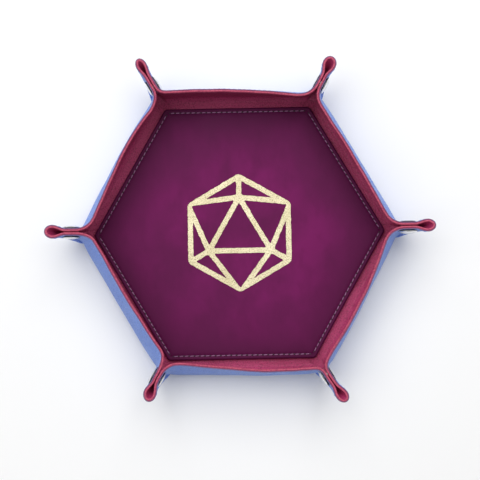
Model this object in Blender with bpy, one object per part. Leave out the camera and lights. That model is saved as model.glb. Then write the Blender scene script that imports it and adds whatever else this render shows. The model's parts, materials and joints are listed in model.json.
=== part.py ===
"""Folding dice tray made from a flat hexagonal sheet with press-studded corners.

The sheet is two skins glued back to back.  Six walls stand up on straight fold lines,
and at each corner two triangular leaves fold outwards and are snapped together by a
press stud.  A stitched pad with a foil emblem lies on the floor.  Every folding piece
is modelled in the plane of the flat sheet and is stood up by the empties on its fold
lines.  The origin is at the centre of the underside, +Z is up and two corners lie on X.
"""
import math

import bmesh
import bpy
from mathutils import Matrix, Vector

MM = 0.001

# Driving dimensions
WALLS = 6
FOLD_APOTHEM = 93.7 * MM        # centre of the floor to a wall's fold line
WALL_HEIGHT = 37.5 * MM         # fold line to rim, measured along the sheet
WALL_LEAN = math.radians(9.3)   # how far a standing wall leans in past upright
SKIN = 0.9 * MM                 # thickness of the cover and of the lining
GAP = 0.3 * MM                  # glue line, and clearance between touching pieces
TIP_RADIUS = 8.0 * MM           # rounding of the flat sheet's corners
CAP_RADIUS = 6.5 * MM
POST_RADIUS = 5.6 * MM
PAD_APOTHEM = 85.8 * MM
PAD_CORNER = 3.0 * MM
BOARD = 2.0 * MM
WRAP = 0.8 * MM                 # leatherette drawn over the board
STITCH_INSET = 2.8 * MM         # pad edge to the middle of its row of thread
EMBLEM_RADIUS = 40.5 * MM
EMBLEM_STROKE = 3.4 * MM

# Derived sizes
HALF_STEP = math.pi / WALLS
SHEET = 2 * SKIN + GAP
HALF_SHEET = SHEET / 2
SHEET_CLEAR = HALF_SHEET + GAP                        # fold axis to the fixed edge
FOLD_SIDE = 2 * FOLD_APOTHEM * math.tan(HALF_STEP)
CREASE_TILT = math.atan(math.sin(WALL_LEAN) * math.tan(HALF_STEP))
LEAF_OFFSET = HALF_SHEET + GAP / 2                    # leaf's middle to the fin's plane
CREASE_FOOT = FOLD_SIDE / 2 - LEAF_OFFSET / math.cos(HALF_STEP)
LEAF_FOLD = math.acos(math.cos(WALL_LEAN) * math.cos(2 * HALF_STEP))
LEAF_FOOT = 1.5 * MM                                  # leaf's lower edge above the fold
LEAF_TRIM = 0.65 * MM                                 # cut off each leaf along the diagonal
ROUND_STEPS = 4
HOLE_SEGMENTS = 16


def clear_scene():
    for old in list(bpy.data.objects):
        bpy.data.objects.remove(old, do_unlink=True)


def material(name, colour, roughness, metallic=0.0):
    result = bpy.data.materials.new(name)
    result.use_nodes = True
    shader = result.node_tree.nodes["Principled BSDF"]
    shader.inputs["Base Color"].default_value = (*colour, 1.0)
    shader.inputs["Roughness"].default_value = roughness
    shader.inputs["Metallic"].default_value = metallic
    return result


def empty(name, parent=None, matrix=None):
    result = bpy.data.objects.new(name, None)
    bpy.context.scene.collection.objects.link(result)
    result.parent = parent
    if matrix is not None:
        result.matrix_local = matrix
    return result


def solid(name, points, faces, look, parent=None, smooth=False):
    """Make one named object from points and faces, with its faces turned outwards."""
    mesh = bpy.data.meshes.new(name)
    mesh.from_pydata([tuple(point) for point in points], [], faces)
    work = bmesh.new()
    work.from_mesh(mesh)
    bmesh.ops.recalc_face_normals(work, faces=work.faces)
    if work.calc_volume(signed=True) < 0:
        bmesh.ops.reverse_faces(work, faces=work.faces)
    work.to_mesh(mesh)
    work.free()
    if smooth:
        mesh.shade_smooth()
        mesh.set_sharp_from_angle(angle=math.radians(40))
    mesh.materials.append(look)
    result = bpy.data.objects.new(name, mesh)
    bpy.context.scene.collection.objects.link(result)
    result.parent = parent
    return result


def loft(loops, capped=True):
    """Join loops of equal length in order; cap both ends, or close the last to the first."""
    count = len(loops[0])
    points = [point for loop in loops for point in loop]
    faces = []
    pairs = len(loops) - 1 if capped else len(loops)
    for row in range(pairs):
        this, following = row * count, ((row + 1) % len(loops)) * count
        for column in range(count):
            right = (column + 1) % count
            faces.append((this + column, this + right, following + right, following + column))
    if capped:
        faces.append(tuple(range(count)))
        faces.append(tuple(range(len(points) - count, len(points))))
    return points, faces


def lathe(profile, segments=HOLE_SEGMENTS):
    """Turn a closed outline of (radius, height) about local Z."""
    loops = []
    for step in range(segments):
        angle = math.tau * step / segments
        loops.append([Vector((r * math.cos(angle), r * math.sin(angle), h)) for r, h in profile])
    points, faces = loft(loops, capped=False)
    return weld_axis(points, faces)


def weld_axis(points, faces):
    """Merge the points that a turned outline puts on its axis."""
    lookup, kept, number = {}, [], []
    for point in points:
        key = (round(point.x, 9), round(point.y, 9), round(point.z, 9))
        if key not in lookup:
            lookup[key] = len(kept)
            kept.append(point)
        number.append(lookup[key])
    welded = []
    for face in faces:
        corners = list(dict.fromkeys(number[index] for index in face))
        if len(corners) > 2:
            welded.append(tuple(corners))
    return kept, welded


def hexagon(apothem, height, corner=0.0, steps=ROUND_STEPS):
    """Loop round a hexagon with corners on X, each rounded to the given radius."""
    loop = []
    for side in range(WALLS):
        middle = 2 * HALF_STEP * side
        if corner == 0.0:
            reach = apothem / math.cos(HALF_STEP)
            loop.append(Vector((reach * math.cos(middle), reach * math.sin(middle), height)))
            continue
        reach = (apothem - corner) / math.cos(HALF_STEP)
        centre = Vector((reach * math.cos(middle), reach * math.sin(middle), height))
        for step in range(steps + 1):
            angle = middle + HALF_STEP * (2 * step / steps - 1)
            loop.append(centre + corner * Vector((math.cos(angle), math.sin(angle), 0)))
    return loop


def plate(name, apothem, low, high, look, corner=0.0):
    points, faces = loft([hexagon(apothem, low, corner), hexagon(apothem, high, corner)])
    return solid(name, points, faces, look)


# Floor ---------------------------------------------------------------------------------

def make_floor(looks):
    base_apothem = FOLD_APOTHEM - SHEET_CLEAR
    plate("outer_cover_base", base_apothem, 0.0, SKIN, looks["cover"])
    plate("lining_base", base_apothem, SKIN + GAP, SHEET, looks["lining"])


def make_pad(looks):
    """A board, the leatherette drawn over it, and the thread in its sunk row."""
    bottom = SHEET + GAP
    board_apothem = PAD_APOTHEM - WRAP - GAP
    plate("pad_board", board_apothem, bottom, bottom + BOARD, looks["board"], PAD_CORNER)

    under = bottom + BOARD + GAP
    top = under + WRAP
    bevel = 0.2 * MM
    channel_half = 0.6 * MM
    channel_floor = top - 0.5 * MM
    outline = [
        (PAD_APOTHEM - WRAP, under), (PAD_APOTHEM - WRAP, bottom), (PAD_APOTHEM, bottom),
        (PAD_APOTHEM, top - bevel), (PAD_APOTHEM - bevel, top),
        (PAD_APOTHEM - STITCH_INSET + channel_half, top),
        (PAD_APOTHEM - STITCH_INSET + channel_half, channel_floor),
        (PAD_APOTHEM - STITCH_INSET - channel_half, channel_floor),
        (PAD_APOTHEM - STITCH_INSET - channel_half, top),
    ]
    loops = [hexagon(apothem, height, PAD_CORNER) for apothem, height in outline]
    solid("pad_cover", *loft(loops), looks["pad"])

    thread_half = channel_half - GAP
    thread_low = channel_floor + GAP
    section = [
        (PAD_APOTHEM - STITCH_INSET - thread_half, thread_low),
        (PAD_APOTHEM - STITCH_INSET + thread_half, thread_low),
        (PAD_APOTHEM - STITCH_INSET + thread_half, thread_low + 2 * thread_half),
        (PAD_APOTHEM - STITCH_INSET - thread_half, thread_low + 2 * thread_half),
    ]
    loops = [hexagon(apothem, height, PAD_CORNER) for apothem, height in section]
    solid("pad_thread", *loft(loops, capped=False), looks["thread"])
    return top


# Emblem: a twenty-sided die seen face on -----------------------------------------------

def inset_corner(before, corner, after, shift_before, shift_after):
    """Where the two sides that meet at a corner cross once each is moved inwards."""
    along_in = (corner - before).normalized()
    along_out = (after - corner).normalized()
    inward_in = Vector((-along_in.y, along_in.x))
    inward_out = Vector((-along_out.y, along_out.x))
    start = corner + inward_in * shift_before
    other = corner + inward_out * shift_after
    turn = along_in.x * along_out.y - along_in.y * along_out.x
    gap = other - start
    return start + along_in * ((gap.x * along_out.y - gap.y * along_out.x) / turn)


def emblem_cells():
    """The ten facets, each as three corners in anticlockwise order."""
    def ring(radius, degrees):
        angle = math.radians(degrees)
        return Vector((radius * math.cos(angle), radius * math.sin(angle)))

    inner_radius = 0.6 * EMBLEM_RADIUS
    inner = [ring(inner_radius, 90 + 120 * k) for k in range(3)]
    outer = [ring(EMBLEM_RADIUS, 90 + 60 * k) for k in range(6)]
    cells = [(inner[0], inner[1], inner[2])]
    for k in range(3):
        here, following = inner[k], inner[(k + 1) % 3]
        tip, between, before = outer[2 * k], outer[2 * k + 1], outer[2 * k - 1]
        cells.append((here, between, following))
        cells.append((here, tip, between))
        cells.append((here, before, tip))
    return cells


def make_emblem(pad_top, looks):
    low, high = pad_top + GAP / 2, pad_top + GAP / 2 + 0.2 * MM
    points, faces, lookup = [], [], {}

    def index(spot, height):
        key = (round(spot.x, 7), round(spot.y, 7), height)
        if key not in lookup:
            lookup[key] = len(points)
            points.append(Vector((spot.x, spot.y, height)))
        return lookup[key]

    def on_rim(spot):
        return spot.length > 0.99 * EMBLEM_RADIUS

    for cell in emblem_cells():
        shifts = []
        for k in range(3):
            outside = on_rim(cell[k]) and on_rim(cell[(k + 1) % 3])
            shifts.append(EMBLEM_STROKE if outside else EMBLEM_STROKE / 2)
        hole = [inset_corner(cell[k - 1], cell[k], cell[(k + 1) % 3], shifts[k - 1], shifts[k])
                for k in range(3)]
        for k in range(3):
            right = (k + 1) % 3
            around = (cell[k], cell[right], hole[right], hole[k])
            faces.append(tuple(index(spot, high) for spot in around))
            faces.append(tuple(index(spot, low) for spot in reversed(around)))
            faces.append((index(hole[right], low), index(hole[k], low),
                          index(hole[k], high), index(hole[right], high)))
            if shifts[k] == EMBLEM_STROKE:
                faces.append((index(cell[k], low), index(cell[right], low),
                              index(cell[right], high), index(cell[k], high)))
    solid("foil_emblem", points, faces, looks["foil"])


# Walls ---------------------------------------------------------------------------------

def skin_section(side):
    """Outline (height, depth) of one skin, quarter-rounded about the fold line."""
    near = side * GAP / 2
    outline = [(WALL_HEIGHT, side * HALF_SHEET), (WALL_HEIGHT, near)]
    start = math.asin(GAP / 2 / HALF_SHEET)
    for step in range(ROUND_STEPS + 1):
        angle = start + (math.pi / 2 - start) * step / ROUND_STEPS
        outline.append((-HALF_SHEET * math.cos(angle), side * HALF_SHEET * math.sin(angle)))
    return outline


def make_wall(number, looks):
    """One wall's two skins, under an empty on its fold line; returns that empty."""
    heading = HALF_STEP * (2 * number - 1)
    outward = Vector((math.cos(heading), math.sin(heading), 0))
    along = Vector((math.sin(heading), -math.cos(heading), 0))
    frame = Matrix((along, outward, Vector((0, 0, 1)))).transposed().to_4x4()
    place = Matrix.Translation(outward * FOLD_APOTHEM + Vector((0, 0, HALF_SHEET)))
    stand_up = Matrix.Rotation(math.pi / 2 + WALL_LEAN, 4, "X")
    fold = empty(f"wall_fold_{number}", matrix=place @ frame @ stand_up)

    def end(height):
        cut_back = SHEET_CLEAR / math.cos(CREASE_TILT)
        return CREASE_FOOT - height * math.tan(CREASE_TILT) - cut_back

    for kind, side in (("cover", -1), ("lining", 1)):
        outline = skin_section(side)
        loops = [[Vector((hand * end(height), height, depth)) for height, depth in outline]
                 for hand in (-1, 1)]
        solid(f"{kind}_wall_{number}", *loft(loops), looks[kind], fold)
    return fold


# Corner leaves -------------------------------------------------------------------------

def leaf_outline():
    """Corners of a leaf in its own plane: X away from the crease, Y up along it.

    It starts at the top of the crease, runs down the crease and up the diagonal on
    which the two leaves of a corner meet, and comes back along the rim.
    """
    diagonal = Vector((math.sin(HALF_STEP), math.cos(HALF_STEP)))
    corner = Vector((FOLD_SIDE / 2, 0))
    trim = Vector((-LEAF_TRIM / math.cos(HALF_STEP), 0))
    tip = corner + diagonal * (WALL_HEIGHT / math.cos(HALF_STEP))
    arc_centre = tip - diagonal * (TIP_RADIUS / math.cos(HALF_STEP))
    outline = [
        Vector((CREASE_FOOT - WALL_HEIGHT * math.tan(CREASE_TILT), WALL_HEIGHT)),
        Vector((CREASE_FOOT - LEAF_FOOT * math.tan(CREASE_TILT), LEAF_FOOT)),
        corner + diagonal * (LEAF_FOOT / math.cos(HALF_STEP)) + trim,
    ]
    for step in range(ROUND_STEPS + 1):
        angle = math.pi / 2 - HALF_STEP * (1 - step / ROUND_STEPS)
        rounded = arc_centre + TIP_RADIUS * Vector((math.cos(angle), math.sin(angle)))
        outline.append(rounded + trim * (1 - step / ROUND_STEPS))
    foot = Vector((CREASE_FOOT, 0))
    across = Vector((math.cos(CREASE_TILT), math.sin(CREASE_TILT)))
    up = Vector((-math.sin(CREASE_TILT), math.cos(CREASE_TILT)))
    return [Vector(((spot - foot).dot(across), (spot - foot).dot(up))) for spot in outline]


def snap_place():
    """Centre of the leaf's largest circle, where the press stud sits."""
    height = WALL_HEIGHT / math.cos(CREASE_TILT)
    rim = WALL_HEIGHT * (math.tan(HALF_STEP) + math.tan(CREASE_TILT))
    slope = WALL_HEIGHT / math.cos(HALF_STEP)
    foot, top = Vector((0, 0)), Vector((0, height))
    tip = slope * Vector((math.sin(HALF_STEP + CREASE_TILT), math.cos(HALF_STEP + CREASE_TILT)))
    return (foot * rim + tip * height + top * slope) / (rim + height + slope)


def make_leaf(name, hand, wall, hole_cutter, looks):
    """One leaf on a wall's end: hand 1 on the wall's +X end, -1 on its -X end."""
    place = Matrix.Translation(Vector((hand * CREASE_FOOT, 0, 0)))
    tilt = Matrix.Rotation(hand * CREASE_TILT, 4, "Z")
    turn = Matrix.Rotation(hand * LEAF_FOLD, 4, "Y")
    crease = empty(f"crease_{name}", wall, place @ tilt @ turn)

    outline = leaf_outline()
    layers = []
    for step in range(ROUND_STEPS + 1):
        angle = math.pi * (step / ROUND_STEPS - 0.5)
        back = -HALF_SHEET * math.cos(angle)
        depth = HALF_SHEET * math.sin(angle)
        layers.append([Vector((hand * back, outline[k].y, depth)) for k in (0, 1)])
    points = [spot for layer in layers for spot in layer]
    lower, upper = [0, 1], [2 * ROUND_STEPS, 2 * ROUND_STEPS + 1]
    for spot in outline[2:]:
        lower.append(len(points))
        points.append(Vector((hand * spot.x, spot.y, -HALF_SHEET)))
        upper.append(len(points))
        points.append(Vector((hand * spot.x, spot.y, HALF_SHEET)))
    faces = [tuple(lower), tuple(upper)]
    for step in range(ROUND_STEPS):
        row = 2 * step
        faces.append((row, row + 1, row + 3, row + 2))
    faces.append(tuple(2 * step for step in range(ROUND_STEPS + 1)))
    faces.append(tuple(2 * step + 1 for step in range(ROUND_STEPS + 1)))
    for k in range(1, len(outline)):
        right = (k + 1) % len(outline)
        faces.append((lower[k], lower[right], upper[right], upper[k]))
    leaf = solid(f"corner_leaf_{name}", points, faces, looks["laminate"], crease)

    spot = snap_place()
    snap = empty(f"snap_axis_{name}", crease,
                 Matrix.Translation(Vector((hand * spot.x, spot.y, 0)))
                 @ Matrix.Rotation(math.pi, 4, "X"))
    cutter = bpy.data.objects.new(f"cutter_{name}", hole_cutter)
    bpy.context.scene.collection.objects.link(cutter)
    cutter.parent = snap
    cutter.hide_render = True
    cutter.display_type = "WIRE"
    hole = leaf.modifiers.new("snap hole", "BOOLEAN")
    hole.operation = "DIFFERENCE"
    hole.solver = "EXACT"
    hole.object = cutter
    return snap


# Press studs: outlines of (radius, height), height 0 at the leaf's middle, + outwards ----

BARREL = 1.75 * MM
RIVET = 2.45 * MM              # the barrel's end, rolled out to hold the inner piece
RING_INNER = 2.8 * MM
RING_OUTER = 3.3 * MM
CUP_INNER = 3.65 * MM
CUP_OUTER = 5.1 * MM
WEB_LOW = 0.45 * MM            # what is left of the leaf inside the stud: this to its face
SEAT_HIGH = WEB_LOW - GAP
SEAT_LOW = SEAT_HIGH - 0.6 * MM
RIVET_HIGH = SEAT_LOW - GAP
RIVET_LOW = RIVET_HIGH - 0.25 * MM


def hole_mesh():
    """Cutter for a leaf: a narrow hole for the barrel, wide where the snap is sunk."""
    narrow, wide = BARREL + GAP, CUP_OUTER + GAP
    beyond = 2 * HALF_SHEET
    profile = [(0, -beyond), (wide, -beyond), (wide, WEB_LOW), (narrow, WEB_LOW),
               (narrow, beyond), (0, beyond)]
    mesh = bpy.data.meshes.new("snap_hole")
    points, faces = lathe(profile)
    mesh.from_pydata([tuple(point) for point in points], [], faces)
    work = bmesh.new()
    work.from_mesh(mesh)
    bmesh.ops.recalc_face_normals(work, faces=work.faces)
    work.to_mesh(mesh)
    work.free()
    return mesh


def headed_barrel(rim, crown):
    """A domed head outside the leaf, on a barrel that is rolled over inside it."""
    under = HALF_SHEET + GAP
    edge = 0.35 * MM
    return [(0, RIVET_LOW), (RIVET, RIVET_LOW), (RIVET, RIVET_HIGH), (BARREL, RIVET_HIGH),
            (BARREL, under), (rim - edge, under), (rim, under + edge),
            (rim - edge, under + 2 * edge), (0.6 * rim, under + 0.85 * crown),
            (0, under + crown)]


def make_snap(corner, cap_axis, post_axis, looks):
    mouth = -HALF_SHEET - 0.05 * MM
    cup = [(BARREL + GAP, SEAT_LOW), (BARREL + GAP, SEAT_HIGH), (CUP_OUTER, SEAT_HIGH),
           (CUP_OUTER, mouth), (CUP_INNER, mouth), (CUP_INNER, SEAT_LOW)]
    ring_tip = -2 * LEAF_OFFSET - SEAT_LOW + GAP
    ring = [(BARREL + GAP, SEAT_LOW), (BARREL + GAP, SEAT_HIGH), (CUP_OUTER, SEAT_HIGH),
            (CUP_OUTER, SEAT_LOW), (RING_OUTER, SEAT_LOW), (RING_OUTER, ring_tip),
            (RING_INNER, ring_tip), (RING_INNER, SEAT_LOW)]
    metal = looks["metal"]
    cap = headed_barrel(CAP_RADIUS, 1.9 * MM)
    post = headed_barrel(POST_RADIUS, 1.2 * MM)
    solid(f"snap_cap_{corner}", *lathe(cap), metal, cap_axis, smooth=True)
    solid(f"snap_socket_{corner}", *lathe(cup), metal, cap_axis, smooth=True)
    solid(f"snap_post_{corner}", *lathe(post), metal, post_axis, smooth=True)
    solid(f"snap_stud_{corner}", *lathe(ring), metal, post_axis, smooth=True)


def main():
    clear_scene()
    looks = {
        "cover": material("outer_cover", (0.26, 0.37, 0.72), 0.55),
        "lining": material("lining", (0.36, 0.03, 0.11), 0.6),
        "laminate": material("corner_laminate", (0.36, 0.03, 0.11), 0.6),
        "board": material("pad_board", (0.35, 0.30, 0.24), 0.9),
        "pad": material("pad_cover", (0.13, 0.012, 0.09), 0.45),
        "thread": material("thread", (0.30, 0.13, 0.30), 0.7),
        "foil": material("foil", (0.70, 0.62, 0.36), 0.35, 1.0),
        "metal": material("press_stud", (0.85, 0.85, 0.86), 0.15, 1.0),
    }
    make_floor(looks)
    pad_top = make_pad(looks)
    make_emblem(pad_top, looks)
    cutter = hole_mesh()
    folds = {number: make_wall(number, looks) for number in range(1, WALLS + 1)}
    for corner in range(1, WALLS + 1):
        following = corner % WALLS + 1
        cap_axis = make_leaf(f"{corner}a", -1, folds[corner], cutter, looks)
        post_axis = make_leaf(f"{corner}b", 1, folds[following], cutter, looks)
        make_snap(corner, cap_axis, post_axis, looks)


main()
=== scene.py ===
"""Looks of the folding dice tray: two soft skins with pinched corners, pad, foil, studs.

The skins are one surface that runs round the whole tray.  It is worked out at rest as
rings of points, from the floor over the fold and up to the rim, and then cut into the
pieces of the floor, the six walls and the twelve corner leaves.
"""
import json
import math

import bmesh
import bpy
import numpy as np
from mathutils import Matrix, Vector, noise


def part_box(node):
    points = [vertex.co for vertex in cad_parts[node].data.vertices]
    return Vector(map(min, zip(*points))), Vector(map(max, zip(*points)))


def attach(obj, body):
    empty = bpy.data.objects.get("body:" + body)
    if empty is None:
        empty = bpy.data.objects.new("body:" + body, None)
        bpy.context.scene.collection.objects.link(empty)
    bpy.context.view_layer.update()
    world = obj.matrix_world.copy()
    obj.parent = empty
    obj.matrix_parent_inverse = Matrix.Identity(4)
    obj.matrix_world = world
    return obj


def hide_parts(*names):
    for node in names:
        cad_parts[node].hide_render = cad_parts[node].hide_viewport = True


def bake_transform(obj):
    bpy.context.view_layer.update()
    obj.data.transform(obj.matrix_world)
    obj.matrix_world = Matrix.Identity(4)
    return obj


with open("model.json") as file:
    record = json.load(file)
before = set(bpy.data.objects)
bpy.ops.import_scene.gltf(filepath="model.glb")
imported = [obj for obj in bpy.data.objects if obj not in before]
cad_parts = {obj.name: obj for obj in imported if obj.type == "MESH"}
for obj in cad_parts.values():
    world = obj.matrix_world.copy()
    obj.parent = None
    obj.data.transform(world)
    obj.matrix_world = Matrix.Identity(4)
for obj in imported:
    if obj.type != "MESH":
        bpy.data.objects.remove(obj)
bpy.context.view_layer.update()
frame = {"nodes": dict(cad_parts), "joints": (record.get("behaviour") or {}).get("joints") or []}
MM = 0.001
WALLS = 6
STEP = math.radians(60)

# Sizes read from the frame
joints = {joint["name"]: joint for joint in frame["joints"]}
fold_spot = joints["wall_1_fold"]["pos_m"]
FOLD_APOTHEM = math.hypot(fold_spot[0], fold_spot[1])
SHEET_MIDDLE = fold_spot[2]
crease_axis = joints["leaf_6a_crease"]["axis"]
LEAN = math.atan(abs(crease_axis[0] / crease_axis[2]) * math.cos(STEP / 2))
RIM_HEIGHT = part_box("lining_wall_1")[1][2]
WALL_HEIGHT = (RIM_HEIGHT - SHEET_MIDDLE) / math.cos(LEAN)
TIP_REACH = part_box("corner_leaf_6a")[1][0]
PAD_LOW, PAD_HIGH = (corner[2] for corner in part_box("pad_cover"))
PAD_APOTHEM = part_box("pad_cover")[1][1]
STITCH_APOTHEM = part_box("pad_thread")[1][1] - 0.3 * MM
FOIL_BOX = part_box("foil_emblem")

# The skins
HALF_SHEET = SHEET_MIDDLE
PLY = 0.45 * MM                   # where the two skins meet, out from the sheet's middle
FOLD_RADIUS = 3.0 * MM
FIN_REACH = TIP_REACH + 0.7 * MM - (FOLD_APOTHEM - WALL_HEIGHT * math.sin(LEAN)) / math.cos(STEP / 2)
FIN_RISE = math.tan(math.radians(5.4))
LOOP_LENGTH = 12.4 * MM
SEAM_DROP = 2.3 * MM              # rim to the row of stitching below it
SEAM_PITCH = 3.3 * MM
GLUE_LINE = 0.02 * MM             # each skin's clearance from where the two meet
COVER_RIM_DROP = 0.25 * MM        # how far the cover's rim stays below the lining's
THREAD_WIDTH, THREAD_HEIGHT, THREAD_DIP = 0.55 * MM, 0.4 * MM, 0.12 * MM
WALL_STITCH, LEAF_STITCH = 2.5 * MM, 2.4 * MM
FOOT_REACH = 1.0 * MM             # how far a pleat stands out at the floor
ROUND_LEAST, ROUND_MOST = 2.2 * MM, 4.3 * MM     # the loop's rounded end
LEAN_EASE = 6 * MM                # over which a loop's lean sets in
# Half the width of a pleat's neck, and how much wider its loop is, in mm by share of height
NECK_GAPS = ((0, 4.0), (0.3, 2.4), (0.6, 1.25), (0.76, 1.15), (1, 1.3))
LOOP_BULGES = ((0, 0.3), (0.25, 0.9), (0.5, 1.0), (0.76, 1.1))

DRAW_IN = 1.2 * MM                # how far each corner's foot is pulled in by its pleat
DRAW_WIDTH = 8 * MM

# How each wall's rim is bowed outwards, at the places in BOW_PLACES along it (clockwise end
# to anticlockwise end), and how far its lower half bulges at either end
BOW_PLACES = (-0.78, -0.52, 0.0, 0.52, 0.78)
WALL_BOWS = {1: (-0.4, -0.5, 1.1, 0.5, 0.5), 2: (0.1, 1.3, 4.0, 4.0, 3.9),
             3: (1.5, 2.3, 3.7, -0.1, -0.6), 4: (-2.3, -2.4, -1.7, -2.4, -3.1),
             5: (-0.4, 0.5, 3.9, 4.6, 4.4), 6: (3.5, 4.0, 4.2, 1.3, -0.4)}
WALL_BELLIES = {1: (2.0, 2.0), 2: (1.5, 1.5), 3: (2.2, 2.2),
                4: (2.2, 2.5), 5: (2.2, 1.9), 6: (2.4, 1.3)}
# How far each corner's loop leans past its stud, in degrees anticlockwise from above, how
# much further out its tip is than the flat leaves, and how open the loop is
LOOP_LEANS = {1: 4.0, 2: -1.0, 3: -1.5, 4: 7.5, 5: 5.0, 6: -1.0}
TIP_STRETCH = {1: 2.0, 2: 3.5, 3: 0.3, 4: -0.3, 5: 4.6, 6: 1.1}
LOOP_OPENING = {1: 2.3, 2: 1.3, 3: 2.2, 4: 2.0, 5: 1.8, 6: 1.9}


def smooth(value):
    value = min(1.0, max(0.0, value))
    return value * value * (3 - 2 * value)


def keyed(value, keys):
    """Smooth curve through (place, height) keys."""
    for (start, low), (end, high) in zip(keys, keys[1:]):
        if value <= end:
            return low + (high - low) * smooth((value - start) / (end - start))
    return keys[-1][1]


# The sheet's surface ---------------------------------------------------------------------

TIP_COLUMNS, LOOP_COLUMNS, NECK_COLUMNS = 8, 9, 4
FLARE_COLUMNS, JOIN_COLUMNS, WALL_COLUMNS = 8, 3, 18
HALF_COLUMNS = (TIP_COLUMNS + LOOP_COLUMNS + NECK_COLUMNS + FLARE_COLUMNS
                + JOIN_COLUMNS + WALL_COLUMNS)
SEAM_COLUMN = HALF_COLUMNS - WALL_COLUMNS      # from a tip to where leaf meets wall
COLUMNS = 2 * WALLS * HALF_COLUMNS
SEAM_REACH = 11.0 * MM                         # that place, from the sharp corner
FOLD_ROWS, WALL_ROWS = 8, 20


def sheet_rows():
    """(share of the wall's height, plan distance, height) of each ring at mid wall."""
    turn = math.pi / 2 + LEAN
    tangent = FOLD_RADIUS * math.tan(turn / 2)
    rows = []
    for step in range(FOLD_ROWS):
        angle = turn * step / FOLD_ROWS
        share = max(0.0, FOLD_RADIUS * (angle - turn / 2) / WALL_HEIGHT)
        rows.append((share, FOLD_APOTHEM - tangent + FOLD_RADIUS * math.sin(angle),
                     SHEET_MIDDLE + FOLD_RADIUS * (1 - math.cos(angle))))
    start, seam = tangent / WALL_HEIGHT, 1 - SEAM_DROP / WALL_HEIGHT
    shares = [start + (seam - start) * k / (WALL_ROWS - 2) for k in range(WALL_ROWS - 1)]
    for share in shares + [(1 + seam) / 2, 1.0]:
        rows.append((share, FOLD_APOTHEM - share * WALL_HEIGHT * math.sin(LEAN),
                     SHEET_MIDDLE + share * WALL_HEIGHT * math.cos(LEAN)))
    return rows


ROWS = sheet_rows()
SEAM_ROW = len(ROWS) - 3


BOW_CURVES = {wall: np.poly1d(np.polyfit(BOW_PLACES, bows, 3)) for wall, bows in WALL_BOWS.items()}


def wall_bow(wall, share, place):
    """Outward shift at a share of the height; place runs -1 to 1 along the wall."""
    rim = BOW_CURVES[wall](max(BOW_PLACES[0], min(BOW_PLACES[-1], place)))
    low, high = WALL_BELLIES[wall]
    belly = low + (high - low) * smooth((place + 1) / 2)
    round_off = math.sin(math.pi * min(1.0, share) ** 0.62)
    return MM * (rim * share ** 0.9 + belly * round_off)


def half_corner(row, side, corner):
    """Points from a corner's tip to its wall's middle, X outwards and Y to that side."""
    share, distance, height = ROWS[row]
    sharp = distance / math.cos(STEP / 2)
    reach = (FIN_REACH + TIP_STRETCH[corner] * MM - FOOT_REACH) * share + FOOT_REACH
    tip = sharp + reach
    gap = MM * keyed(share, NECK_GAPS)
    bulge = gap + MM * keyed(share, LOOP_BULGES + ((1, LOOP_OPENING[corner]),))
    round_end = max(ROUND_LEAST, min(ROUND_MOST, 0.42 * reach))
    crown = tip - round_end
    neck_out = min(tip - min(LOOP_LENGTH, 0.5 * reach + 0.4 * MM), crown - 0.2 * MM)
    neck_in = min(sharp + (0.25 + 0.17 * smooth(2 - 2 * share)) * reach, neck_out - 0.2 * MM)
    meet = sharp - gap * math.tan(STEP / 2)
    tangent = neck_in - meet
    radius = tangent / math.tan(STEP / 2)

    wall = corner % WALLS + 1 if side > 0 else corner
    half_side = distance * math.tan(STEP / 2)
    away = Vector((math.cos(STEP / 2), math.sin(STEP / 2)))
    end_bow = away * wall_bow(wall, share, -side * (1 - SEAM_REACH / half_side))

    plan = []
    for k in range(TIP_COLUMNS):
        angle = math.pi / 2 * k / TIP_COLUMNS
        plan.append((crown + round_end * math.cos(angle), bulge * math.sin(angle)))
    for k in range(LOOP_COLUMNS):
        way = k / LOOP_COLUMNS
        plan.append((crown + (neck_out - crown) * way, bulge + (gap - bulge) * smooth(way)))
    for k in range(NECK_COLUMNS):
        plan.append((neck_out + (neck_in - neck_out) * k / NECK_COLUMNS, gap))
    for k in range(FLARE_COLUMNS):
        way = k / FLARE_COLUMNS
        shift = end_bow * smooth(way)
        plan.append((neck_in - radius * math.sin(STEP * way) + shift.x,
                     gap + radius * (1 - math.cos(STEP * way)) + shift.y))
    lean = math.tan(math.radians(LOOP_LEANS[corner])) * side
    turn_from = sharp + 0.33 * reach
    bent = []
    for x, y in plan:
        past = max(0.0, x - turn_from)
        bent.append((x, y + lean * past * past / (past + LEAN_EASE)))

    first = tangent + gap / math.sin(STEP)
    stations = [first + (SEAM_REACH - first) * k / JOIN_COLUMNS for k in range(JOIN_COLUMNS)]
    stations += [SEAM_REACH + (half_side - SEAM_REACH) * (k / WALL_COLUMNS)
                 for k in range(WALL_COLUMNS + 1)]
    for station in stations:
        place = -side * (1 - max(station, SEAM_REACH) / half_side)
        spot = Vector((sharp - station * math.cos(STEP), station * math.sin(STEP)))
        spot += away * wall_bow(wall, share, place)
        bent.append((spot.x, spot.y))
    rise = [height + max(0.0, x - sharp) * FIN_RISE for x, _ in bent]
    drawn = DRAW_IN * (1 - smooth(share / 0.8))
    return [(x - drawn * math.exp(-(y / DRAW_WIDTH) ** 2), y * side, z)
            for (x, y), z in zip(bent, rise)]


def sheet_surface():
    """Middle surface of the whole ring."""
    surface = np.zeros((len(ROWS), COLUMNS, 3))
    for row in range(len(ROWS)):
        ring = []
        for corner in range(1, WALLS + 1):
            turn = corner * STEP
            spin = np.array(((math.cos(turn), -math.sin(turn), 0),
                             (math.sin(turn), math.cos(turn), 0), (0, 0, 1)))
            before = half_corner(row, -1, corner)[::-1]
            after = half_corner(row, 1, corner)
            ring.extend(np.array(before[:-1] + after[:-1]) @ spin.T)
        surface[row] = ring
    return surface


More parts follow.
